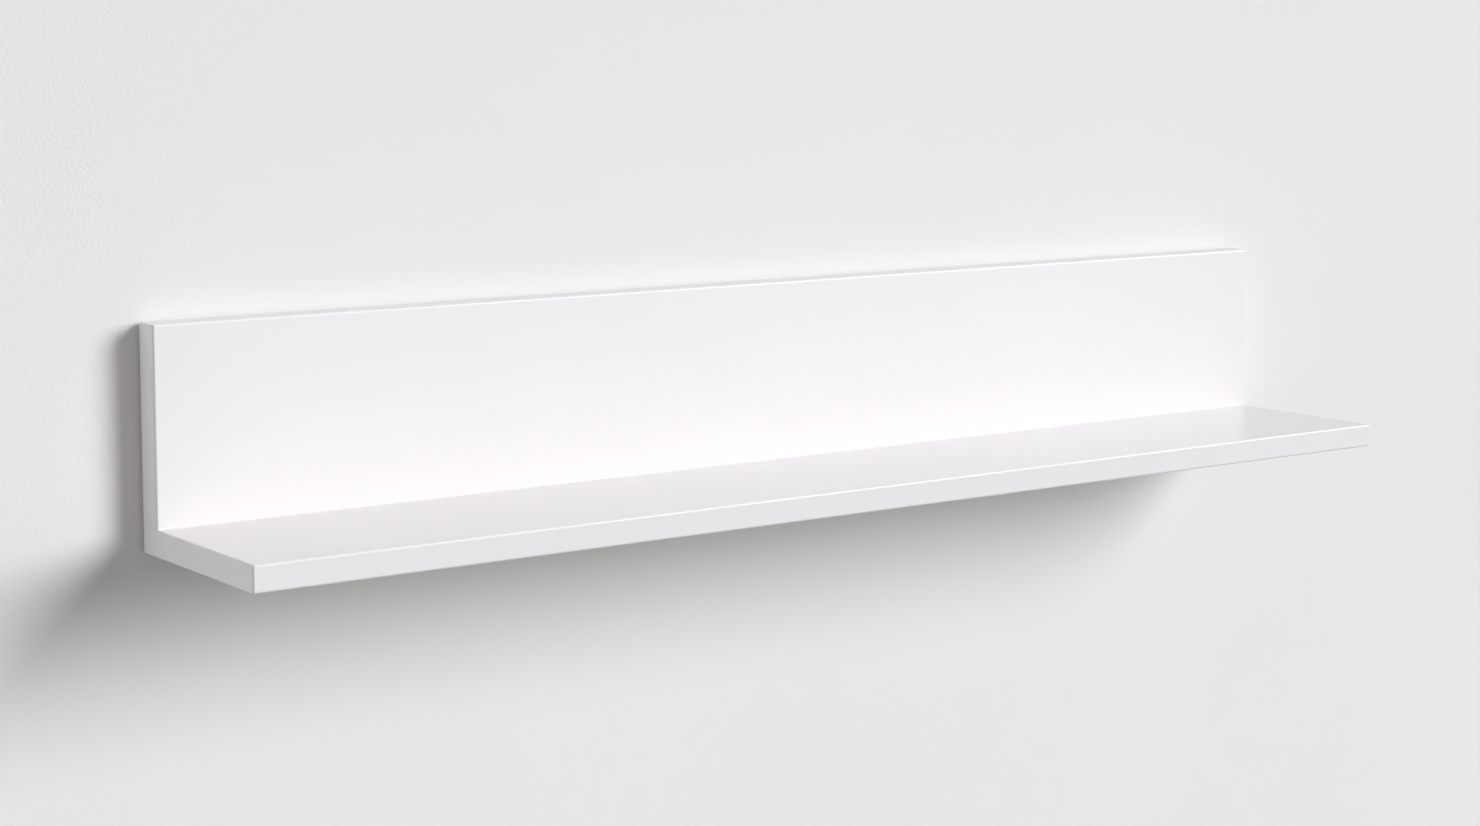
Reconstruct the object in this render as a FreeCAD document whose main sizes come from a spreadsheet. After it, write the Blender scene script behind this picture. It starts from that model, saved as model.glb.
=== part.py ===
import FreeCAD, Part
import math
import os
import Sketcher
from FreeCAD import Placement, Rotation, Vector

# A floating wall shelf: an upright back panel and a shelf board, glued, dowelled and screwed into
# one L and lacquered as a whole.  It hangs on two identical aluminium hook rails, one screwed to
# the wall and one let into a pocket in the panel's back, and stands off on four silicone bumpers.
#
# Axes: X along the shelf, Y into the wall, Z up.  The wall's face is y = 0, the shelf's front
# looks along -Y, and the origin is the middle of the wall rail's line of screw holes.

DRIVING_SIZES = [
    # name, mm or count, what it sets
    ("shelf_length", 1000, "overall length, end to end"),
    ("shelf_depth", 140, "board from the panel's face to its front edge"),
    ("upstand", 134, "panel height above the shelf's top"),
    ("board_thick", 18, "shelf board"),
    ("panel_thick", 22, "back panel"),
    ("arris_round", 1.5, "rounding of every outer edge under the lacquer"),
    ("wall_gap", 2, "air between panel and wall, held by the bumpers"),
    ("top_margin", 18.5, "panel left above the rear pocket"),
    ("pocket_margin", 40, "panel left beside the rear pocket, each end"),
    ("pocket_corner", 8, "radius the cutter leaves in the pocket's corners"),
    ("top_clear", 1, "pocket above the panel rail"),
    ("bottom_clear", 2, "pocket below the wall rail when the shelf is fully lifted"),
    ("rail_thick", 2.5, "plate, shoulder and lip of both rails"),
    ("hook_play", 0.2, "air on each side of a lip in its slot"),
    ("hook_reach", 9.5, "lip beyond the shoulder, which is the engagement"),
    ("lift_spare", 2.5, "lift past the lips, to clear them"),
    ("rail_shoulder", 10, "screw line to the shoulder"),
    ("rail_foot", 14, "screw line to the plate's free edge"),
    ("tip_round", 0.8, "lead-in rounding of the lips"),
    ("root_round", 0.5, "radius in the rails' inner corners"),
    ("groove_depth", 0.3, "drilling groove along each screw line"),
    ("rail_end_gap", 10, "panel rail short of the pocket, each end"),
    ("side_play", 10, "wall rail short of the panel rail, each end"),
    ("wall_hole", 5.5, "screw holes in the wall rail, diameter"),
    ("wall_hole_count", 6, "screw holes in the wall rail"),
    ("wall_hole_inset", 40, "last hole to the wall rail's end"),
    ("rail_screw_count", 4, "screws that hold the panel rail"),
    ("rail_screw_inset", 30, "last screw to the panel rail's end"),
    ("rail_screw_length", 15, "overall"),
    ("rail_screw_neck", 4, "diameter in the rail"),
    ("rail_screw_core", 2.8, "thread's core, diameter"),
    ("screw_sink", 0.2, "screw heads below the surface"),
    ("sink_land", 0.3, "plate left straight under a countersink"),
    ("joint_screw_count", 4, "connector screws through the panel into the board"),
    ("joint_inset", 50, "last connector screw to the shelf's end"),
    ("joint_screw_length", 60, "overall"),
    ("joint_screw_head", 10, "diameter"),
    ("joint_screw_collar", 7, "plain collar under the head, diameter"),
    ("joint_collar_length", 10, "head's top to the collar's end"),
    ("joint_screw_core", 5, "thread's core, diameter"),
    ("hex_socket", 4, "across flats"),
    ("hex_depth", 2.8, "socket's depth"),
    ("screw_play", 0.1, "air round a screw in its clearance hole"),
    ("dowel_thick", 8, "diameter"),
    ("dowel_length", 40, "overall"),
    ("dowel_in_panel", 14, "part of the dowel in the panel"),
    ("hole_relief", 0.5, "blind holes deeper than what goes in"),
    ("bumper_wide", 12, "diameter"),
    ("bumper_seat", 1, "bumper let into the panel"),
    ("bumper_inset", 20, "outer bumpers to the shelf's ends"),
    ("bumper_play", 0.1, "air round a bumper in its seat"),
]


class Size:
    """A number together with the spreadsheet formula that drives it."""

    def __init__(self, value, formula):
        self.value = value
        self.formula = formula

    def join(self, sign, other, value):
        return Size(value, f"({self.formula} {sign} {other})")

    def __add__(self, other):
        return self.join("+", formula_of(other), self.value + value_of(other))

    def __sub__(self, other):
        return self.join("-", formula_of(other), self.value - value_of(other))

    def __mul__(self, other):
        return self.join("*", formula_of(other), self.value * value_of(other))

    def __truediv__(self, other):
        return self.join("/", formula_of(other), self.value / value_of(other))

    def __neg__(self):
        return self * -1


def value_of(number):
    return number.value if isinstance(number, Size) else number


def formula_of(number):
    return number.formula if isinstance(number, Size) else repr(number)


def fill_sheet(rows):
    """Write the driving sizes to a spreadsheet, and give each back under its alias."""
    sheet = doc.addObject("Spreadsheet::Sheet", "sizes")
    sizes = {}
    for row, (alias, value, meaning) in enumerate(rows, start=1):
        sheet.set(f"A{row}", alias)
        sheet.set(f"B{row}", str(value))
        sheet.set(f"C{row}", meaning)
        sheet.setAlias(f"B{row}", alias)
        sizes[alias] = Size(value, f"<<sizes>>.{alias}")
    doc.recompute()
    return sizes


def bind(thing, prop, number):
    thing.setExpression(prop, formula_of(number))


# ---------------------------------------------------------------- sketches and features

def new_body(label):
    body = doc.addObject("PartDesign::Body", label)
    body.Label = label
    return body


def origin_part(body, role):
    return next(part for part in body.Origin.OriginFeatures if part.Role == role)


def new_sketch(body, name, plane, offset=None):
    """A sketch on an origin plane; on XZ_Plane the offset is how far it stands in front."""
    sketch = body.newObject("Sketcher::SketchObject", name)
    sketch.AttachmentSupport = [(origin_part(body, plane), "")]
    sketch.MapMode = "FlatFace"
    if offset is not None:
        bind(sketch, "AttachmentOffset.Base.z", offset)
    return sketch


def pin(sketch, geometry, point, across, up):
    """Hold a point at two driven distances from the sketch's origin."""
    for kind, distance in (("DistanceX", across), ("DistanceY", up)):
        rule = Sketcher.Constraint(kind, -1, 1, geometry, point, float(value_of(distance)))
        index = sketch.addConstraint(rule)
        bind(sketch, f"Constraints[{index}]", distance)


def draw_outline(sketch, corners):
    """A closed outline of straight lines with every corner driven."""
    places = [Vector(value_of(across), value_of(up), 0) for across, up in corners]
    for start, end in zip(places, places[1:] + places[:1]):
        sketch.addGeometry(Part.LineSegment(start, end), False)
    for line, (across, up) in enumerate(corners):
        before = (line - 1) % len(corners)
        sketch.addConstraint(Sketcher.Constraint("Coincident", before, 2, line, 1))
        pin(sketch, line, 1, across, up)


def draw_circle(sketch, across, up, diameter):
    centre = Vector(value_of(across), value_of(up), 0)
    circle = sketch.addGeometry(Part.Circle(centre, Vector(0, 0, 1), diameter.value / 2), False)
    pin(sketch, circle, 3, across, up)
    index = sketch.addConstraint(Sketcher.Constraint("Diameter", circle, float(diameter.value)))
    bind(sketch, f"Constraints[{index}]", diameter)


def extrude(body, name, sketch, length):
    """A bar that runs the same way to both sides of its sketch."""
    pad = body.newObject("PartDesign::Pad", name)
    pad.Profile = sketch
    pad.SideType = "Symmetric"
    bind(pad, "Length", length)
    doc.recompute()
    return pad


def cut(body, name, sketch, depth, forwards):
    """A pocket from a sketch that faces front; forwards cuts along -Y, else along +Y."""
    pocket = body.newObject("PartDesign::Pocket", name)
    pocket.Profile = sketch
    pocket.Reversed = forwards
    bind(pocket, "Length", depth)
    doc.recompute()
    return pocket


def turn(body, name, corners):
    """A round piece: an outline (radius, place along Y) spun about the Y axis."""
    sketch = new_sketch(body, name + "_outline", "XY_Plane")
    draw_outline(sketch, corners)
    spin = body.newObject("PartDesign::Revolution", name)
    spin.Profile = sketch
    spin.ReferenceAxis = (sketch, ["V_Axis"])
    spin.Angle = 360
    doc.recompute()
    return spin


def soften(body, name, radius, wanted):
    """Round the edges of the body's tip that the wanted(edge) test picks."""
    base = body.Tip
    picked = [f"Edge{n}" for n, edge in enumerate(base.Shape.Edges, start=1) if wanted(edge)]
    fillet = body.newObject("PartDesign::Fillet", name)
    fillet.Base = (base, picked)
    bind(fillet, "Radius", radius)
    doc.recompute()
    return fillet


def repeat(body, name, features, span, count):
    """Repeat features along +X, the copies spread evenly over the span."""
    pattern = body.newObject("PartDesign::LinearPattern", name)
    pattern.Originals = features
    pattern.Direction = (origin_part(body, "X_Axis"), [""])
    bind(pattern, "Length", span)
    bind(pattern, "Occurrences", count)
    body.Tip = pattern
    doc.recompute()
    return pattern


def drill_row(body, name, face, height, row, diameter, depth, forwards):
    """A row of blind holes from a plane that stands `face` in front of the wall."""
    span, count = row
    sketch = new_sketch(body, name + "_centre", "XZ_Plane", face)
    draw_circle(sketch, -span / 2, height, diameter)
    hole = cut(body, name + "_first", sketch, depth, forwards)
    return repeat(body, name, [hole], span, count)


def countersink_row(body, name, face, height, row, neck, mouth, forwards):
    """A row of through holes with 90 degree countersinks in the sketch's plane."""
    span, count = row
    sketch = new_sketch(body, name + "_centre", "XZ_Plane", face)
    draw_circle(sketch, -span / 2, height, neck)
    doc.recompute()
    hole = body.newObject("PartDesign::Hole", name + "_first")
    hole.Profile = sketch
    doc.recompute()
    hole.ThreadType = "None"
    hole.DepthType = "ThroughAll"
    hole.Reversed = forwards
    hole.HoleCutType = "Countersink"
    hole.HoleCutCustomValues = True
    hole.HoleCutCountersinkAngle = 90
    bind(hole, "Diameter", neck)
    bind(hole, "HoleCutDiameter", mouth)
    doc.recompute()
    return repeat(body, name, [hole], span, count)


def move(body, x=None, y=None, z=None):
    for axis, distance in (("x", x), ("y", y), ("z", z)):
        if distance is not None:
            bind(body, f"Placement.Base.{axis}", distance)
    doc.recompute()


def same(a, b, near=1e-4):
    return abs(a - b) < near


# ---------------------------------------------------------------- derived places

doc = FreeCAD.newDocument("floating_wall_shelf")
S = fill_sheet(DRIVING_SIZES)

# depths, as distances in front of the wall
PANEL_BACK = S["wall_gap"]
PANEL_FACE = S["wall_gap"] + S["panel_thick"]
BOARD_FRONT = PANEL_FACE + S["shelf_depth"]
SLOT_WIDE = S["rail_thick"] + S["hook_play"] * 2
RAIL_DEEP = SLOT_WIDE + S["rail_thick"]
POCKET_FLOOR = RAIL_DEEP + S["hook_play"]
POCKET_DEEP = POCKET_FLOOR - PANEL_BACK
RAIL_SINK_DEEP = S["rail_thick"] - S["sink_land"]

# heights, measured from the wall rail's screw line
SHOULDER_TOP = S["rail_shoulder"] + S["rail_thick"]
LIP_TOP = SHOULDER_TOP + S["hook_reach"]
PANEL_RAIL_LINE = SHOULDER_TOP + LIP_TOP
PANEL_RAIL_TOP = PANEL_RAIL_LINE + S["rail_foot"]
LIFT_TRAVEL = S["hook_reach"] + S["lift_spare"]
POCKET_TOP = PANEL_RAIL_TOP + S["top_clear"]
POCKET_BOTTOM = -(S["rail_foot"] + LIFT_TRAVEL + S["bottom_clear"])
PANEL_TOP = POCKET_TOP + S["top_margin"]
SHELF_TOP = PANEL_TOP - S["upstand"]
UNDERSIDE = SHELF_TOP - S["board_thick"]
JOINT_LINE = UNDERSIDE + S["board_thick"] / 2
BUMPER_LINE = (POCKET_BOTTOM + JOINT_LINE) / 2

# lengths, and the rows of fasteners as (span from first to last, how many)
POCKET_LONG = S["shelf_length"] - S["pocket_margin"] * 2
PANEL_RAIL_LONG = POCKET_LONG - S["rail_end_gap"] * 2
WALL_RAIL_LONG = PANEL_RAIL_LONG - S["side_play"] * 2
WALL_HOLES = (WALL_RAIL_LONG - S["wall_hole_inset"] * 2, S["wall_hole_count"])
RAIL_SCREWS = (PANEL_RAIL_LONG - S["rail_screw_inset"] * 2, S["rail_screw_count"])
JOINT_SCREWS = (S["shelf_length"] - S["joint_inset"] * 2, S["joint_screw_count"])
JOINT_BAYS = S["joint_screw_count"] - 1
DOWELS = (JOINT_SCREWS[0] * (JOINT_BAYS - 1) / JOINT_BAYS, JOINT_BAYS)
BUMPER_NAMES = ("bumper_left", "bumper_mid_left", "bumper_mid_right", "bumper_right")
BUMPERS = (S["shelf_length"] - S["bumper_inset"] * 2, len(BUMPER_NAMES))


# ---------------------------------------------------------------- the L of panel and board

def make_glued_blank():
    """The L as it leaves the clamps: one profile, outer edges rounded right across the joint."""
    body = new_body("glued_blank")
    profile = new_sketch(body, "l_profile", "YZ_Plane")
    draw_outline(profile, [
        (-PANEL_BACK, UNDERSIDE),
        (-PANEL_BACK, PANEL_TOP),
        (-PANEL_FACE, PANEL_TOP),
        (-PANEL_FACE, SHELF_TOP),
        (-BOARD_FRONT, SHELF_TOP),
        (-BOARD_FRONT, UNDERSIDE),
    ])
    extrude(body, "l_section", profile, S["shelf_length"])

    def is_outer(edge):
        middle = edge.CenterOfMass
        at_corner = same(middle.y, -PANEL_FACE.value) and same(middle.z, SHELF_TOP.value)
        return not (at_corner and same(middle.x, 0))

    soften(body, "arrises", S["arris_round"], is_outer)
    return body


def make_panel_space():
    """The part of the blank that is back panel: everything behind the panel's face."""
    space = doc.addObject("Part::Box", "panel_space")
    bind(space, "Length", S["shelf_length"])
    bind(space, "Width", S["panel_thick"])
    bind(space, "Height", PANEL_TOP - UNDERSIDE)
    bind(space, "Placement.Base.x", -S["shelf_length"] / 2)
    bind(space, "Placement.Base.y", -PANEL_FACE)
    bind(space, "Placement.Base.z", UNDERSIDE)
    return space


def mill_rear_pocket(body):
    """The stopped pocket that hides both rails, with room to lift the shelf off them."""
    sketch = new_sketch(body, "pocket_outline", "XZ_Plane", PANEL_BACK)
    half = POCKET_LONG / 2
    draw_outline(sketch, [
        (-half, POCKET_BOTTOM),
        (half, POCKET_BOTTOM),
        (half, POCKET_TOP),
        (-half, POCKET_TOP),
    ])
    cut(body, "rear_pocket", sketch, POCKET_DEEP, forwards=True)

    def is_pocket_corner(edge):
        middle = edge.CenterOfMass
        at_end = same(abs(middle.x), half.value)
        return at_end and same(edge.Length, POCKET_DEEP.value)

    soften(body, "cutter_corners", S["pocket_corner"], is_pocket_corner)


def make_back_panel(blank, space):
    stock = doc.addObject("Part::Common", "panel_stock")
    stock.Base = blank
    stock.Tool = space
    doc.recompute()
    body = new_body("back_panel")
    body.BaseFeature = stock
    doc.recompute()
    mill_rear_pocket(body)
    countersink_row(body, "joint_screw_holes", PANEL_BACK, JOINT_LINE, JOINT_SCREWS,
                    S["joint_screw_collar"] + S["screw_play"] * 2,
                    S["joint_screw_head"] + S["screw_sink"] * 2,
                    forwards=True)
    drill_row(body, "dowel_holes", PANEL_FACE, JOINT_LINE, DOWELS, S["dowel_thick"],
              S["dowel_in_panel"] + S["hole_relief"], forwards=False)
    drill_row(body, "rail_screw_pilots", POCKET_FLOOR, PANEL_RAIL_LINE, RAIL_SCREWS,
              S["rail_screw_core"],
              S["rail_screw_length"] + S["screw_sink"] - S["rail_thick"] + S["hole_relief"],
              forwards=True)
    drill_row(body, "bumper_seats", PANEL_BACK, BUMPER_LINE, BUMPERS,
              S["bumper_wide"] + S["bumper_play"] * 2, S["bumper_seat"], forwards=True)
    return body


def make_shelf_board(blank, space):
    stock = doc.addObject("Part::Cut", "board_stock")
    stock.Base = blank
    stock.Tool = space
    doc.recompute()
    body = new_body("shelf_board")
    body.BaseFeature = stock
    doc.recompute()
    drill_row(body, "joint_screw_pilots", PANEL_FACE, JOINT_LINE, JOINT_SCREWS,
              S["joint_screw_core"],
              S["joint_screw_length"] + S["screw_sink"] - S["panel_thick"] + S["hole_relief"],
              forwards=True)
    drill_row(body, "dowel_holes", PANEL_FACE, JOINT_LINE, DOWELS, S["dowel_thick"],
              S["dowel_length"] - S["dowel_in_panel"] + S["hole_relief"], forwards=True)
    return body


# ---------------------------------------------------------------- corner joint fasteners

def make_joint_dowels():
    body = new_body("joint_dowels")
    radius = S["dowel_thick"] / 2
    length = S["dowel_length"]
    dowel = turn(body, "dowel", [(0, 0), (radius, 0), (radius, -length), (0, -length)])
    repeat(body, "dowel_row", [dowel], *DOWELS)
    move(body, -DOWELS[0] / 2, S["dowel_in_panel"] - PANEL_FACE, JOINT_LINE)
    return body


def make_joint_screws():
    """Connector screws: flat head with a hexagon socket, plain collar, core of the coarse thread."""
    body = new_body("joint_screws")
    head = S["joint_screw_head"] / 2
    collar = S["joint_screw_collar"] / 2
    core = S["joint_screw_core"] / 2
    screw = turn(body, "screw", [
        (0, 0),
        (head, 0),
        (collar, collar - head),
        (collar, -S["joint_collar_length"]),
        (core, -S["joint_collar_length"]),
        (core, -S["joint_screw_length"]),
        (0, -S["joint_screw_length"]),
    ])
    flat = S["hex_socket"] / 2
    corner = S["hex_socket"] / math.sqrt(3)
    sketch = new_sketch(body, "hexagon", "XZ_Plane")
    draw_outline(sketch, [
        (corner, 0),
        (corner / 2, flat),
        (-corner / 2, flat),
        (-corner, 0),
        (-corner / 2, -flat),
        (corner / 2, -flat),
    ])
    socket = cut(body, "socket", sketch, S["hex_depth"], forwards=True)
    repeat(body, "screw_row", [screw, socket], *JOINT_SCREWS)
    move(body, -JOINT_SCREWS[0] / 2, -(PANEL_BACK + S["screw_sink"]), JOINT_LINE)
    return body


# ---------------------------------------------------------------- hook rails

def make_hook_rail(label, length):
    """An extruded rail: a plate, a shoulder that jogs forward and a lip that leaves a slot."""
    body = new_body(label)
    plate = S["rail_thick"]
    groove = S["groove_depth"]
    section = new_sketch(body, "section", "YZ_Plane")
    draw_outline(section, [
        (0, -S["rail_foot"]),
        (0, SHOULDER_TOP),
        (-SLOT_WIDE, SHOULDER_TOP),
        (-SLOT_WIDE, LIP_TOP),
        (-RAIL_DEEP, LIP_TOP),
        (-RAIL_DEEP, S["rail_shoulder"]),
        (-plate, S["rail_shoulder"]),
        (-plate, groove),
        (groove - plate, 0),
        (-plate, -groove),
        (-plate, -S["rail_foot"]),
    ])
    extrude(body, "extrusion", section, length)

    def runs_along_at(edge, places):
        middle = edge.CenterOfMass
        return any(same(middle.x, 0) and same(middle.y, y.value) and same(middle.z, z.value)
                   for y, z in places)

    tips = [(-SLOT_WIDE, LIP_TOP), (-RAIL_DEEP, LIP_TOP), (-RAIL_DEEP, S["rail_shoulder"])]
    roots = [(-SLOT_WIDE, SHOULDER_TOP), (-plate, S["rail_shoulder"])]
    soften(body, "lead_ins", S["tip_round"], lambda edge: runs_along_at(edge, tips))
    soften(body, "inner_corners", S["root_round"], lambda edge: runs_along_at(edge, roots))
    return body


def make_wall_rail():
    body = make_hook_rail("wall_rail", WALL_RAIL_LONG)
    drill_row(body, "wall_screw_holes", 0, 0, WALL_HOLES, S["wall_hole"],
              S["rail_thick"], forwards=True)
    return body


def make_panel_rail():
    """The same rail upside down: its lip hangs in the wall rail's slot and rests on its shoulder."""
    body = make_hook_rail("panel_rail", PANEL_RAIL_LONG)
    neck = S["rail_screw_neck"] + S["screw_play"] * 2
    countersink_row(body, "countersinks", S["rail_thick"], 0, RAIL_SCREWS,
                    neck, neck + RAIL_SINK_DEEP * 2, forwards=False)
    body.Placement = Placement(Vector(), Rotation(Vector(1, 0, 0), 180))
    move(body, y=-POCKET_FLOOR, z=PANEL_RAIL_LINE)
    return body


def make_panel_rail_screws():
    """Countersunk wood screws, flush in the panel rail."""
    body = new_body("panel_rail_screws")
    neck = S["rail_screw_neck"] / 2
    core = S["rail_screw_core"] / 2
    head = neck + S["screw_play"] + RAIL_SINK_DEEP - S["screw_sink"]
    screw = turn(body, "screw", [
        (0, 0),
        (head, 0),
        (neck, neck - head),
        (core, neck - head),
        (core, -S["rail_screw_length"]),
        (0, -S["rail_screw_length"]),
    ])
    repeat(body, "screw_row", [screw], *RAIL_SCREWS)
    rail_back = POCKET_FLOOR - S["rail_thick"]
    move(body, -RAIL_SCREWS[0] / 2, -(rail_back + S["screw_sink"]), PANEL_RAIL_LINE)
    return body


# ---------------------------------------------------------------- bumpers

def make_bumper(label, across):
    """A punched silicone disc, seated in the panel's back; its outer face rests on the wall."""
    body = new_body(label)
    radius = S["bumper_wide"] / 2
    height = S["wall_gap"] + S["bumper_seat"]
    turn(body, "disc", [(0, -height), (radius, -height), (radius, 0), (0, 0)])
    move(body, x=across, z=BUMPER_LINE)
    return body


def make_bumpers():
    span, count = BUMPERS
    bumpers = []
    for number, label in enumerate(BUMPER_NAMES):
        across = span * (number / (count - 1) - 0.5)
        bumpers.append(make_bumper(label, across))
    return bumpers


# ---------------------------------------------------------------- checks and files

def check_document():
    """Stop on a failed object, a null or invalid shape, or a cut that removes nothing."""
    for thing in doc.Objects:
        if {"Invalid", "Error"} & set(thing.State):
            raise RuntimeError(f"{thing.Name} failed: {thing.State}")
        if thing.TypeId in ("PartDesign::Pocket", "PartDesign::Hole"):
            if thing.Shape.Volume >= thing.BaseFeature.Shape.Volume:
                raise RuntimeError(f"{thing.Name} cuts nothing")


def write_parts(parts, folder="parts"):
    os.makedirs(folder, exist_ok=True)
    for part in parts:
        if part.Shape.isNull() or not part.Shape.isValid():
            raise RuntimeError(f"{part.Label} has no valid shape")
        part.Shape.exportStep(os.path.join(folder, part.Label + ".step"))


blank = make_glued_blank()
panel_space = make_panel_space()
parts = [
    make_back_panel(blank, panel_space),
    make_shelf_board(blank, panel_space),
    make_joint_dowels(),
    make_joint_screws(),
    make_wall_rail(),
    make_panel_rail(),
    make_panel_rail_screws(),
    *make_bumpers(),
]
doc.recompute()
check_document()
write_parts(parts)
for part in parts:
    shape = part.Shape
    print(part.Label, len(shape.Solids), "solids", round(shape.Volume), "mm3", shape.BoundBox)
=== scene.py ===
import math

import bpy
from mathutils import Matrix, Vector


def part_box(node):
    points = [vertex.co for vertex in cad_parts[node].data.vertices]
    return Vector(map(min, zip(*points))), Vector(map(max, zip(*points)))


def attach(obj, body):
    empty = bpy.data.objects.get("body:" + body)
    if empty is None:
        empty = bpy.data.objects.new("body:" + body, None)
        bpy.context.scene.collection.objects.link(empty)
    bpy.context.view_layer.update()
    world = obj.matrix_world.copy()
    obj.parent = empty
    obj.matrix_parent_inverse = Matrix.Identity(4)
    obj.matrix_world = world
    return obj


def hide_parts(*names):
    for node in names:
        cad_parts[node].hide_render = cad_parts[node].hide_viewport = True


# A floating wall shelf: a back panel and a shelf board under one white lacquer, hung on two hook
# rails.  X runs along the shelf, Y into the wall, Z up; the wall's face is y = 0.

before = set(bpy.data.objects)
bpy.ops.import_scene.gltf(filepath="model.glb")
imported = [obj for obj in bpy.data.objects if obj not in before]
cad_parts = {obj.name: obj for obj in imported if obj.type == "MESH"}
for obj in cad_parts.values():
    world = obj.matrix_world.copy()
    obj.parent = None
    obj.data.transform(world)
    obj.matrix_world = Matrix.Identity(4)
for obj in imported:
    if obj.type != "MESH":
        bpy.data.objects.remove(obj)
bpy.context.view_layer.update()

MM = 0.001

# places of the hidden fasteners, as in the CAD model
JOINT_HEIGHT = -75 * MM
CONNECTOR_HEADS = -2.2 * MM
CONNECTOR_PLACES = [x * MM for x in (-450, -150, 150, 450)]
DOWEL_ENDS = -10 * MM
DOWEL_PLACES = [x * MM for x in (-300, 0, 300)]
RAIL_SCREW_HEIGHT = 34.5 * MM
RAIL_SCREW_HEADS = -3.3 * MM
RAIL_SCREW_PLACES = [x * MM for x in (-420, -140, 140, 420)]

# the pocket milled into the panel's back
POCKET_HALF = 460 * MM
POCKET_FOOT = -28 * MM
POCKET_HEAD = 49.5 * MM
POCKET_FLOOR = -5.6 * MM
PANEL_BACK = -2 * MM
HAIR = 0.05 * MM  # slack for the primer's mask at the pocket's walls, floor and mouth

# threads
ROOT_SHARE = 0.94  # a ridge starts inside the core, at this share of its radius
RIDGE_HALF = 0.26  # half a ridge's width, in pitches
STEPS_PER_TURN = 20
POINT_SHARE = 0.12  # what is left of the core's radius at the end of a point

FACING = 0.9  # a face looks along an axis when its normal has at least this much of it

NOISE_RANGE = (0.3, 0.7)  # nearly all values of a noise texture lie in here

# the Mix node has several sockets of the same name, so they go by number
MIX_FACTOR, MIX_FIRST_VALUE, MIX_SECOND_VALUE = 0, 2, 3
MIX_FIRST_COLOR, MIX_SECOND_COLOR, MIX_COLOR_RESULT = 6, 7, 2


# ---------------------------------------------------------------- modelling by hand

def deselect():
    bpy.ops.object.select_all(action="DESELECT")


def hold(piece):
    """Make this the active piece and the only one selected."""
    deselect()
    piece.select_set(True)
    bpy.context.view_layer.objects.active = piece


def take(name):
    """Name the new primitive, with its place settled into its mesh."""
    piece = bpy.context.active_object
    piece.name = name
    piece.data.name = name
    bpy.ops.object.transform_apply(location=True, rotation=True, scale=True)
    return piece


def pick(piece, kind, wanted):
    """Go to edit mode with only the edges or faces selected that pass the test."""
    bpy.ops.object.mode_set(mode="EDIT")
    bpy.ops.mesh.select_mode(type=kind)
    bpy.ops.mesh.select_all(action="DESELECT")
    bpy.ops.object.mode_set(mode="OBJECT")
    for part in {"EDGE": piece.data.edges, "FACE": piece.data.polygons}[kind]:
        part.select = wanted(part)
    bpy.ops.object.mode_set(mode="EDIT")


def edge_middle(piece, edge):
    start, end = (piece.data.vertices[v].co for v in edge.vertices)
    return (start + end) / 2


def widen(across, up):
    """Scale what is selected about the piece's axis."""
    bpy.ops.transform.resize(value=(across, 1, up), center_override=(0, 0, 0))


def draw_out(along, share):
    """Extrude the selected end face along -Y, and widen or narrow it about the axis."""
    bpy.ops.mesh.extrude_region_move(TRANSFORM_OT_translate={"value": (0, -along, 0)})
    widen(share, share)


def outward(piece):
    """Turn every face outwards and leave edit mode."""
    bpy.ops.object.mode_set(mode="EDIT")
    bpy.ops.mesh.select_mode(type="VERT")
    bpy.ops.mesh.select_all(action="SELECT")
    bpy.ops.mesh.normals_make_consistent(inside=False)
    bpy.ops.mesh.select_all(action="DESELECT")
    bpy.ops.object.mode_set(mode="OBJECT")


def turn_on_lathe(name, rings, sides=36):
    """A turned piece on the Y axis: rings of (distance from the head's top, radius)."""
    deselect()
    depth, radius = rings[0]
    bpy.ops.mesh.primitive_circle_add(vertices=sides, radius=radius, fill_type="NGON",
                                      location=(0, -depth, 0), rotation=(math.pi / 2, 0, 0))
    piece = take(name)
    bpy.ops.object.mode_set(mode="EDIT")
    bpy.ops.mesh.select_all(action="SELECT")
    for next_depth, next_radius in rings[1:]:
        draw_out(next_depth - depth, next_radius / radius)
        depth, radius = next_depth, next_radius
    outward(piece)
    return piece


def settle(piece, modifier):
    """Apply a modifier."""
    hold(piece)
    bpy.ops.object.modifier_apply(modifier=modifier.name)


def cut_with(piece, cutter):
    """Take the cutter's shape out of the piece."""
    cut = piece.modifiers.new("cut", "BOOLEAN")
    cut.operation = "DIFFERENCE"
    cut.solver = "EXACT"
    cut.object = cutter
    settle(piece, cut)
    bpy.data.objects.remove(cutter)


def join(piece, other):
    hold(piece)
    other.select_set(True)
    bpy.ops.object.join()


def smooth(piece, degrees=32):
    hold(piece)
    bpy.ops.object.shade_smooth_by_angle(angle=math.radians(degrees))


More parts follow.
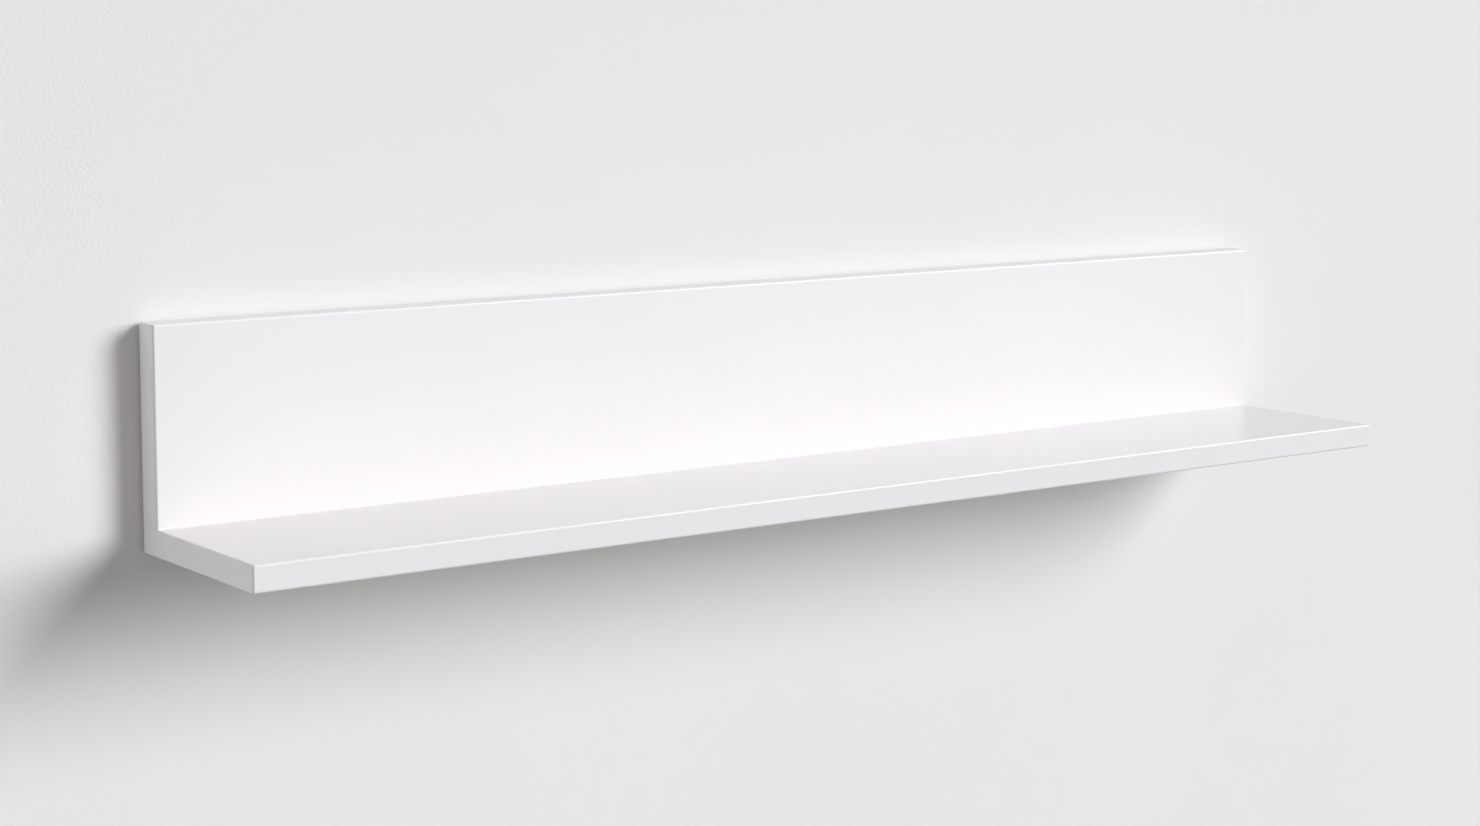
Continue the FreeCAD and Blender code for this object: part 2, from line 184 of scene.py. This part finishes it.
def wind_thread(piece, core, crest, pitch, first, last, tip=None):
    """Wind a thread's ridge round a core, between two distances from the head's top.

    It runs out at both ends.  tip is the length over which the core narrows to a point."""
    deselect()
    half = pitch * RIDGE_HALF
    section = (core * ROOT_SHARE, -half), (core * ROOT_SHARE, half), (crest, 0)
    bpy.ops.mesh.primitive_circle_add(vertices=3, radius=1, location=(0, 0, 0))
    ridge = take("thread_ridge")
    for corner, (across, along) in zip(ridge.data.vertices, section):
        corner.co = (across, along - last, 0)
    turns = (last - first) / pitch
    winding = ridge.modifiers.new("winding", "SCREW")
    winding.axis = "Y"
    winding.angle = 2 * math.pi * turns
    winding.screw_offset = last - first
    winding.steps = winding.render_steps = round(STEPS_PER_TURN * turns)
    winding.use_merge_vertices = False
    settle(ridge, winding)

    # close both ends
    bpy.ops.object.mode_set(mode="EDIT")
    bpy.ops.mesh.select_all(action="DESELECT")
    bpy.ops.mesh.select_non_manifold(extend=False)
    bpy.ops.mesh.fill()
    outward(ridge)

    for corner in ridge.data.vertices:
        depth = -corner.co.y
        fade = min(1, max(0, depth - first) / pitch, max(0, last - depth) / pitch)
        radius = math.hypot(corner.co.x, corner.co.z)
        body = core
        if tip:
            body = core * min(1, max(POINT_SHARE, (last + half - depth) / tip))
        if radius > core:
            wanted = body + (crest - core) * fade
        else:
            wanted = body * ROOT_SHARE
        corner.co.x *= wanted / radius
        corner.co.z *= wanted / radius
    join(piece, ridge)


def place_copy(pattern, name, x, y, z):
    """One of several alike: a copy with its own mesh, moved in its mesh."""
    copy = pattern.copy()
    copy.data = pattern.data.copy()
    copy.name = name
    copy.data.name = name
    bpy.context.scene.collection.objects.link(copy)
    copy.data.transform(Matrix.Translation((x, y, z)))
    return copy


def fit_pieces(pattern, node, body, material, places):
    """Put copies of the pattern in place of a CAD node, and drop the pattern."""
    pattern.data.materials.clear()
    pattern.data.materials.append(material)
    for number, (x, y, z) in enumerate(places, start=1):
        piece = place_copy(pattern, f"{pattern.name}_{number}", x, y, z)
        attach(piece, body)
        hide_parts(node)
    bpy.data.objects.remove(pattern)


# ---------------------------------------------------------------- material recipes

def feed(tree, socket, source):
    """Give a socket a plain value, or link another node's output to it."""
    if isinstance(source, bpy.types.NodeSocket):
        tree.links.new(source, socket)
    else:
        socket.default_value = source


def add_node(tree, kind, inputs, **settings):
    node = tree.nodes.new(kind)
    for name, value in settings.items():
        setattr(node, name, value)
    for key, source in inputs.items():
        feed(tree, node.inputs[key], source)
    return node


def start_material(name):
    material = bpy.data.materials.new(name)
    material.use_nodes = True
    tree = material.node_tree
    return material, tree, tree.nodes["Principled BSDF"]


def place_in(tree, stretch=(1, 1, 1)):
    """Object coordinates, stretched by the given factors."""
    place = add_node(tree, "ShaderNodeTexCoord", {}).outputs["Object"]
    if stretch == (1, 1, 1):
        return place
    return add_node(tree, "ShaderNodeMapping", {"Vector": place, "Scale": stretch}).outputs[0]


def split(tree, vector):
    """The x, y and z of a vector."""
    return add_node(tree, "ShaderNodeSeparateXYZ", {"Vector": vector}).outputs


def noise(tree, place, scale, detail=2.0, roughness=0.5):
    return add_node(tree, "ShaderNodeTexNoise", {
        "Vector": place, "Scale": scale, "Detail": detail, "Roughness": roughness,
    }).outputs["Fac"]


def math_node(tree, operation, first, second=0.0):
    return add_node(tree, "ShaderNodeMath", {0: first, 1: second},
                    operation=operation).outputs[0]


def product(tree, first, *others):
    for other in others:
        first = math_node(tree, "MULTIPLY", first, other)
    return first


def between(tree, value, given, wanted=(0, 1)):
    """Map a value from its given range to the wanted one, clamped."""
    return add_node(tree, "ShaderNodeMapRange", {
        "Value": value, "From Min": given[0], "From Max": given[1],
        "To Min": wanted[0], "To Max": wanted[1],
    }).outputs["Result"]


def mix_colors(tree, share, first, second):
    mix = add_node(tree, "ShaderNodeMix", {MIX_FACTOR: share, MIX_FIRST_COLOR: first,
                                           MIX_SECOND_COLOR: second}, data_type="RGBA")
    return mix.outputs[MIX_COLOR_RESULT]


def mix_values(tree, share, first, second):
    return add_node(tree, "ShaderNodeMix", {MIX_FACTOR: share, MIX_FIRST_VALUE: first,
                                            MIX_SECOND_VALUE: second},
                    data_type="FLOAT").outputs[0]


def finish_shader(tree, shader, color, roughness, height, relief):
    """Feed the shader, with the height as bump of the given depth."""
    feed(tree, shader.inputs["Base Color"], color)
    feed(tree, shader.inputs["Roughness"], roughness)
    bump = add_node(tree, "ShaderNodeBump", {"Height": height, "Distance": relief})
    feed(tree, shader.inputs["Normal"], bump.outputs["Normal"])


def pocket_mask(tree):
    """1 in the milled rear pocket, 0 elsewhere."""
    x, y, z = split(tree, place_in(tree))
    return product(
        tree,
        math_node(tree, "LESS_THAN", math_node(tree, "ABSOLUTE", x), POCKET_HALF + HAIR),
        math_node(tree, "LESS_THAN", y, PANEL_BACK - HAIR),
        math_node(tree, "GREATER_THAN", y, POCKET_FLOOR - HAIR),
        math_node(tree, "GREATER_THAN", z, POCKET_FOOT - HAIR),
        math_node(tree, "LESS_THAN", z, POCKET_HEAD + HAIR),
    )


def mix_white_lacquer():
    """Sprayed satin white with a faint orange peel; in the pocket primer over milled board."""
    whites = (0.840, 0.824, 0.842, 1), (0.850, 0.834, 0.851, 1)
    primers = (0.60, 0.55, 0.48, 1), (0.80, 0.77, 0.72, 1)
    lacquer_roughness, primer_roughness = (0.30, 0.35), 0.72
    relief = 0.12 * MM
    peel_share, cutter_share = 0.12, 0.5

    material, tree, shader = start_material("white_lacquer")
    place = place_in(tree)
    cloud = between(tree, noise(tree, place, scale=6, detail=3), (0.35, 0.65))
    lacquer = mix_colors(tree, cloud, *whites)
    peel = noise(tree, place, scale=380, detail=1.5)
    gloss = between(tree, noise(tree, place, scale=45, detail=3), NOISE_RANGE, lacquer_roughness)

    fibre = noise(tree, place, scale=900, detail=4, roughness=0.7)
    cutter = add_node(tree, "ShaderNodeTexWave", {
        "Vector": place_in(tree, (1, 0, 1)), "Scale": 26, "Distortion": 1.6, "Detail": 1,
        "Detail Scale": 3,
    }, wave_type="RINGS", rings_direction="Y").outputs["Fac"]
    primer = mix_colors(tree, fibre, *primers)
    milled = math_node(tree, "ADD", fibre, product(tree, cutter, cutter_share))

    pocket = pocket_mask(tree)
    color = mix_colors(tree, pocket, lacquer, primer)
    roughness = mix_values(tree, pocket, gloss, primer_roughness)
    height = mix_values(tree, pocket, product(tree, peel, peel_share), milled)
    finish_shader(tree, shader, color, roughness, height, relief)
    shader.inputs["IOR"].default_value = 1.5
    return material


def mix_rail_aluminium():
    """Mill-finish extrusion: die lines along the rail, saw marks across its cut ends."""
    drawn_shades = (0.74, 0.75, 0.765, 1), (0.83, 0.84, 0.85, 1)
    sawn_shade = (0.86, 0.865, 0.87, 1)
    drawn_roughness, sawn_roughness = (0.26, 0.42), 0.38
    relief = 0.02 * MM

    material, tree, shader = start_material("rail_aluminium")
    lines = noise(tree, place_in(tree, (0.012, 1, 1)), scale=1600, detail=3, roughness=0.65)
    broad = noise(tree, place_in(tree, (0.05, 1, 1)), scale=120, detail=2)
    marks = noise(tree, place_in(tree, (1, 0.05, 1)), scale=2600, detail=2, roughness=0.6)
    facing = split(tree, add_node(tree, "ShaderNodeTexCoord", {}).outputs["Normal"])[0]
    sawn = math_node(tree, "GREATER_THAN", math_node(tree, "ABSOLUTE", facing), FACING)
    drawn = mix_colors(tree, between(tree, broad, NOISE_RANGE), *drawn_shades)
    color = mix_colors(tree, sawn, drawn, sawn_shade)
    roughness = mix_values(tree, sawn, between(tree, lines, NOISE_RANGE, drawn_roughness),
                           sawn_roughness)
    finish_shader(tree, shader, color, roughness, mix_values(tree, sawn, lines, marks), relief)
    shader.inputs["Metallic"].default_value = 1
    return material


def mix_zinc_steel():
    """Bright zinc plating with a faint blue and yellow cast in patches."""
    blue, yellow = (0.60, 0.62, 0.66, 1), (0.70, 0.69, 0.65, 1)
    relief = 0.003 * MM

    material, tree, shader = start_material("zinc_steel")
    place = place_in(tree)
    patches = between(tree, noise(tree, place, scale=260), NOISE_RANGE)
    color = mix_colors(tree, patches, blue, yellow)
    grain = noise(tree, place, scale=3000)
    roughness = between(tree, grain, NOISE_RANGE, (0.27, 0.34))
    finish_shader(tree, shader, color, roughness, grain, relief)
    shader.inputs["Metallic"].default_value = 1
    return material


def mix_beech():
    """Beech along the dowel, with its short darker flecks."""
    dark, light = (0.50, 0.31, 0.17, 1), (0.66, 0.45, 0.27, 1)
    fleck_shade = (0.33, 0.17, 0.08, 1)
    relief = 0.05 * MM

    material, tree, shader = start_material("beech")
    grain = noise(tree, place_in(tree, (1, 0.06, 1)), scale=1500, detail=4, roughness=0.6)
    flecks = noise(tree, place_in(tree, (1, 0.22, 1)), scale=2600, detail=1)
    wood = mix_colors(tree, between(tree, grain, NOISE_RANGE), dark, light)
    color = mix_colors(tree, between(tree, flecks, (0.62, 0.70), (0, 0.6)), wood, fleck_shade)
    roughness = between(tree, grain, NOISE_RANGE, (0.5, 0.65))
    finish_shader(tree, shader, color, roughness, grain, relief)
    return material


def mix_silicone():
    """Clear-milky silicone with a dusty skin."""
    clean, dusty = (0.84, 0.86, 0.87, 1), (0.90, 0.90, 0.88, 1)
    glow_depth = 3 * MM
    relief = 0.02 * MM

    material, tree, shader = start_material("silicone")
    dust = noise(tree, place_in(tree), scale=700, detail=4, roughness=0.7)
    color = mix_colors(tree, between(tree, dust, (0.55, 0.75)), clean, dusty)
    roughness = between(tree, dust, NOISE_RANGE, (0.25, 0.45))
    finish_shader(tree, shader, color, roughness, dust, relief)
    shader.inputs["IOR"].default_value = 1.41
    shader.inputs["Transmission Weight"].default_value = 0.1
    shader.inputs["Subsurface Weight"].default_value = 0.2
    shader.inputs["Subsurface Radius"].default_value = (glow_depth,) * 3
    return material


def one_sided(material, tree, shader):
    """Seen from its back the surface isn't there, so the views from behind aren't blocked."""
    behind = add_node(tree, "ShaderNodeNewGeometry", {}).outputs["Backfacing"]
    clear = add_node(tree, "ShaderNodeBsdfTransparent", {}).outputs[0]
    choice = add_node(tree, "ShaderNodeMixShader", {0: behind, 1: shader.outputs[0], 2: clear})
    tree.links.new(choice.outputs[0], tree.nodes["Material Output"].inputs["Surface"])
    return material


def mix_wall_paint():
    """Matt rolled paint with its stipple heavier to the upper left, and paler to the right as
    painted light: the key light's falloff across the wall.
    """
    dull, pale = (0.830, 0.821, 0.816, 1), (0.876, 0.867, 0.861, 1)
    cloud_share, painted_falloff_share = 0.35, 0.65
    roughness, sheen = 0.9, 0.2
    relief = 0.5 * MM

    material, tree, shader = start_material("wall_paint")
    place = place_in(tree)
    x, _, z = split(tree, place)
    cloud = between(tree, noise(tree, place, scale=2.2, detail=3), NOISE_RANGE, (0, cloud_share))
    # painted light: the paint is paler towards the right, in place of the key light falling off
    # towards the left
    painted_key_falloff = between(tree, x, (-0.6, 0.8), (0, painted_falloff_share))
    color = mix_colors(tree, math_node(tree, "ADD", cloud, painted_key_falloff), dull, pale)

    stipple = noise(tree, place, scale=380, detail=3, roughness=0.6)
    patches = between(tree, noise(tree, place, scale=4), (0.40, 0.60), (0.3, 1))
    heavy_left = between(tree, x, (-0.52, -0.36), (1, 0.35))
    heavy_high = between(tree, z, (0, 0.22), (0.55, 1))
    height = product(tree, heavy_left, heavy_high, patches, stipple)
    finish_shader(tree, shader, color, roughness, height, relief)
    shader.inputs["Specular IOR Level"].default_value = sheen
    return one_sided(material, tree, shader)


def seen_ray(tree):
    """1 for what the camera sees, directly, mirrored or through glass; 0 for what lights things."""
    path = add_node(tree, "ShaderNodeLightPath", {})
    return math_node(tree, "MAXIMUM", path.outputs["Is Camera Ray"],
                     math_node(tree, "MAXIMUM", path.outputs["Is Glossy Ray"],
                               path.outputs["Is Transmission Ray"]))


def mix_floor_paint():
    """A floor that looks pale on both sides of the wall, but throws little light back up."""
    pales = (0.84, 0.83, 0.82, 1), (0.87, 0.86, 0.85, 1)
    bounce = (0.33, 0.33, 0.32, 1)
    glow_shade = (0.90, 0.89, 0.88, 1)
    glow_start, glow_before, glow_behind = -3, (0.28, 0.02), 0.34
    roughness, relief = 0.8, 0.2 * MM

    material, tree, shader = start_material("floor_paint")
    place = place_in(tree)
    seen = seen_ray(tree)
    cloud = between(tree, noise(tree, place, scale=1.5, detail=3), NOISE_RANGE)
    color = mix_colors(tree, seen, bounce, mix_colors(tree, cloud, *pales))
    stipple = noise(tree, place, scale=180)
    finish_shader(tree, shader, color, roughness, stipple, relief)

    y = split(tree, place)[1]
    before = between(tree, y, (glow_start, 0), glow_before)
    behind = product(tree, math_node(tree, "GREATER_THAN", y, 0), glow_behind)
    glow = math_node(tree, "ADD", before, behind)
    feed(tree, shader.inputs["Emission Color"], glow_shade)
    feed(tree, shader.inputs["Emission Strength"], product(tree, seen, glow))
    return one_sided(material, tree, shader)


# ---------------------------------------------------------------- pieces

def coat(nodes, material):
    """Give CAD nodes their finish."""
    for name in nodes:
        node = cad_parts[name]
        node.data.materials.clear()
        node.data.materials.append(material)


def turn_connector():
    """Connector screw: flat head with a hexagon socket, collar, coarse thread and blunt end."""
    head, crest, core, end = 4.6 * MM, 3.5 * MM, 2.5 * MM, 1.5 * MM
    thread_start, thread_end = 11 * MM, 56.5 * MM
    screw = turn_on_lathe("joint_screw", [
        (0, head - 0.15 * MM), (0.15 * MM, head), (0.4 * MM, head), (1.5 * MM, crest),
        (10 * MM, crest), (thread_start, core), (57 * MM, core), (60 * MM, end),
    ])

    across_flats, socket_depth = 4 * MM, 2.8 * MM
    chamfer_depth, chamfer_reach, chamfer_share = 0.3 * MM, 0.5 * MM, 1.28
    deselect()
    bpy.ops.mesh.primitive_cylinder_add(vertices=6, radius=across_flats / math.sqrt(3),
                                        depth=socket_depth, location=(0, -socket_depth / 2, 0),
                                        rotation=(math.pi / 2, 0, 0))
    punch = take("hexagon_punch")
    pick(punch, "FACE", lambda face: face.normal.y > FACING)
    bpy.ops.transform.translate(value=(0, -chamfer_depth, 0))
    draw_out(-chamfer_reach, chamfer_share)
    outward(punch)
    cut_with(screw, punch)
    wind_thread(screw, core, crest, pitch=3 * MM, first=thread_start, last=thread_end)
    smooth(screw)
    return screw


def turn_rail_screw():
    """Wood screw: countersunk head with a cross recess, thread down to a point."""
    head, crest, core = 3.95 * MM, 2.0 * MM, 1.4 * MM
    screw = turn_on_lathe("panel_rail_screw", [
        (0, head - 0.1 * MM), (0.05 * MM, head), (0.15 * MM, head), (2.1 * MM, crest),
        (2.4 * MM, core), (11.5 * MM, core), (14.9 * MM, 0.15 * MM), (15 * MM, 0.05 * MM),
    ], sides=32)

    blade_size, blade_place = (4.4 * MM, 1.9 * MM, 0.9 * MM), (0, -0.45 * MM, 0)
    foot_length, foot_width = 0.5, 0.6  # shares of the blade's at the recess's foot
    cross_turn = math.pi / 5
    for angle in (0, math.pi / 2):
        deselect()
        bpy.ops.mesh.primitive_cube_add(size=1, location=blade_place, scale=blade_size)
        blade = take("recess_blade")
        pick(blade, "FACE", lambda face: face.normal.y < -FACING)
        widen(foot_length, foot_width)
        outward(blade)
        blade.data.transform(Matrix.Rotation(angle + cross_turn, 4, "Y"))
        cut_with(screw, blade)
    wind_thread(screw, core, crest, pitch=1.8 * MM, first=2.5 * MM, last=14.3 * MM, tip=3 * MM)
    smooth(screw)
    return screw


def turn_dowel():
    """Beech dowel with pressed flutes and bevelled ends."""
    flutes, radius, bevel, length = 20, 4 * MM, 1 * MM, 40 * MM
    flute_share, end_share = 0.93, 0.75
    slack = 0.1  # in flutes, for finding the edges that are pressed in
    deselect()
    bpy.ops.mesh.primitive_cylinder_add(vertices=flutes * 3, radius=radius,
                                        depth=length - 2 * bevel,
                                        location=(0, -length / 2, 0),
                                        rotation=(math.pi / 2, 0, 0))
    dowel = take("joint_dowel")

    def is_flute(edge):
        """Whether this edge is one of every third that runs along the dowel."""
        middle = edge_middle(dowel, edge)
        if abs(middle.y + length / 2) > bevel:
            return False
        flute = math.atan2(middle.z, middle.x) / (2 * math.pi) * flutes
        return abs(flute - round(flute)) < slack

    pick(dowel, "EDGE", is_flute)
    widen(flute_share, flute_share)
    for side in (1, -1):
        pick(dowel, "FACE", lambda face: face.normal.y * side > FACING)
        draw_out(-side * bevel, end_share)
    outward(dowel)
    smooth(dowel, 20)
    return dowel


def punch_bumper(name, node, material):
    """Silicone disc with a soft edge towards the wall and a shallow dimple in its face."""
    wall_round, seat_round = 0.9 * MM, 0.2 * MM
    rim, slope, dimple = 1.6 * MM, 0.8 * MM, 0.25 * MM
    low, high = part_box(node)
    middle = (low + high) / 2
    radius, thick = (high.x - low.x) / 2, high.y - low.y
    deselect()
    bpy.ops.mesh.primitive_cylinder_add(vertices=48, radius=radius, depth=thick,
                                        location=middle, rotation=(math.pi / 2, 0, 0))
    bumper = take(name)
    pick(bumper, "FACE", lambda face: face.normal.y > FACING)
    bpy.ops.mesh.bevel(offset=wall_round, segments=5, affect="EDGES")
    pick(bumper, "FACE", lambda face: face.normal.y < -FACING)
    bpy.ops.mesh.bevel(offset=seat_round, segments=2, affect="EDGES")
    pick(bumper, "FACE", lambda face: face.normal.y > FACING and face.area > radius * radius)
    bpy.ops.mesh.inset(thickness=rim)
    bpy.ops.mesh.inset(thickness=slope, depth=-dimple)
    outward(bumper)
    smooth(bumper)
    bumper.data.materials.append(material)
    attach(bumper, "shelf")
    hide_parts(node)


white_lacquer = mix_white_lacquer()
rail_aluminium = mix_rail_aluminium()
zinc_steel = mix_zinc_steel()
beech = mix_beech()
silicone = mix_silicone()

coat(["back_panel", "shelf_board"], white_lacquer)
coat(["wall_rail", "panel_rail"], rail_aluminium)
fit_pieces(turn_connector(), "joint_screws", "shelf", zinc_steel,
           [(x, CONNECTOR_HEADS, JOINT_HEIGHT) for x in CONNECTOR_PLACES])
fit_pieces(turn_rail_screw(), "panel_rail_screws", "shelf", zinc_steel,
           [(x, RAIL_SCREW_HEADS, RAIL_SCREW_HEIGHT) for x in RAIL_SCREW_PLACES])
fit_pieces(turn_dowel(), "joint_dowels", "shelf", beech,
           [(x, DOWEL_ENDS, JOINT_HEIGHT) for x in DOWEL_PLACES])
for node in ("bumper_left", "bumper_mid_left", "bumper_mid_right", "bumper_right"):
    punch_bumper(node.replace("bumper", "silicone_bumper"), node, silicone)


# ---------------------------------------------------------------- wall, floor and light

def build_stage():
    """The wall, which throws no shadow so that the rear lamp reaches the shelf, and the floor."""
    width, wall_height, wall_middle, floor_level = 14, 4, 0.65, -1.35
    clearance = 0.4 * MM  # between the wall and the faces that lie at y = 0
    deselect()
    bpy.ops.mesh.primitive_plane_add(size=wall_height, location=(0, clearance, wall_middle),
                                     rotation=(math.pi / 2, 0, 0))
    bpy.ops.transform.resize(value=(width / wall_height, 1, 1))
    wall = take("wall")
    wall.data.materials.append(mix_wall_paint())
    wall.visible_shadow = False
    wall.visible_glossy = False
    deselect()
    bpy.ops.mesh.primitive_plane_add(size=width, location=(0, 0, floor_level))
    floor = take("floor")
    floor.data.materials.append(mix_floor_paint())


def light_air(strength, left_glow, overhead_share, color, backdrop):
    """Even light from the room in front of the wall: more from the left, less from overhead.

    What the camera sees, directly, mirrored or through glass, is a plain pale backdrop instead."""
    world = bpy.data.worlds.new("studio_air")
    world.use_nodes = True
    bpy.context.scene.world = world
    tree = world.node_tree
    tree.nodes.clear()
    x, y, z = split(tree, add_node(tree, "ShaderNodeTexCoord", {}).outputs["Generated"])
    left = math_node(tree, "POWER", between(tree, x, (-1, 0), (1, 0)), 2)
    sideways = math_node(tree, "ADD", product(tree, left, left_glow), strength)
    overhead = between(tree, z, (0, 1), (1, overhead_share))
    in_room = math_node(tree, "LESS_THAN", y, 0)
    level = product(tree, sideways, overhead, in_room)
    air = add_node(tree, "ShaderNodeBackground", {"Color": color, "Strength": level})
    pale = add_node(tree, "ShaderNodeBackground", {"Color": backdrop, "Strength": 1.0})
    choice = add_node(tree, "ShaderNodeMixShader", {0: seen_ray(tree), 1: air.outputs[0],
                                                    2: pale.outputs[0]})
    add_node(tree, "ShaderNodeOutputWorld", {"Surface": choice.outputs[0]})


def hang_lamp(name, kind, strength, color, facing):
    """A lamp of the given kind, turned the way it has to face."""
    light = bpy.data.lights.new(name, kind)
    light.energy = strength
    light.color = color
    lamp = bpy.data.objects.new(name, light)
    bpy.context.scene.collection.objects.link(lamp)
    lamp.rotation_euler = facing.to_euler()
    return lamp


def shine_from(direction, width, strength, color):
    """The key light: a broad, soft disc so far off that it lights the whole wall evenly."""
    facing = Vector(direction).to_track_quat("Z", "Y")
    lamp = hang_lamp("key_light", "SUN", strength, color, facing)
    lamp.data.angle = width


def light_back(distance, wide, high, strength, color):
    """A lamp behind the wall for the panel's back; none of its light gets round to the front."""
    facing = Vector((0, -1, 0)).to_track_quat("-Z", "Y")
    lamp = hang_lamp("rear_lamp", "AREA", strength, color, facing)
    lamp.location = (0, distance, 0)
    lamp.data.shape = "RECTANGLE"
    lamp.data.size = wide
    lamp.data.size_y = high
    lamp.data.cycles.max_bounces = 0
    lamp.visible_camera = False
    lamp.visible_glossy = False


def set_camera():
    """A long lens from the left, a little above the shelf."""
    degrees_down, degrees_right = 5.701, 35.834
    camera = bpy.data.objects.new("camera", bpy.data.cameras.new("camera"))
    bpy.context.scene.collection.objects.link(camera)
    bpy.context.scene.camera = camera
    camera.location = (-1.2204, -1.6657, 0.2625)
    camera.rotation_euler = (math.radians(90 - degrees_down), 0, math.radians(-degrees_right))
    camera.data.sensor_width = 36
    camera.data.lens = 66.824
    camera.data.shift_y = -0.08
    camera.data.clip_start = 0.05
    camera.data.clip_end = 60


build_stage()
light_air(strength=0.262, left_glow=0.42, overhead_share=0.85, color=(1.0, 0.980, 0.945, 1),
          backdrop=(0.86, 0.85, 0.845, 1))
shine_from(direction=(0.648, -0.696, 0.310), width=math.radians(31), strength=2.945,
           color=(0.98, 0.978, 1.0))
light_back(distance=0.9, wide=0.8, high=0.1, strength=6.5, color=(1.0, 0.99, 0.98))
set_camera()
bpy.context.scene.view_settings.view_transform = "Standard"
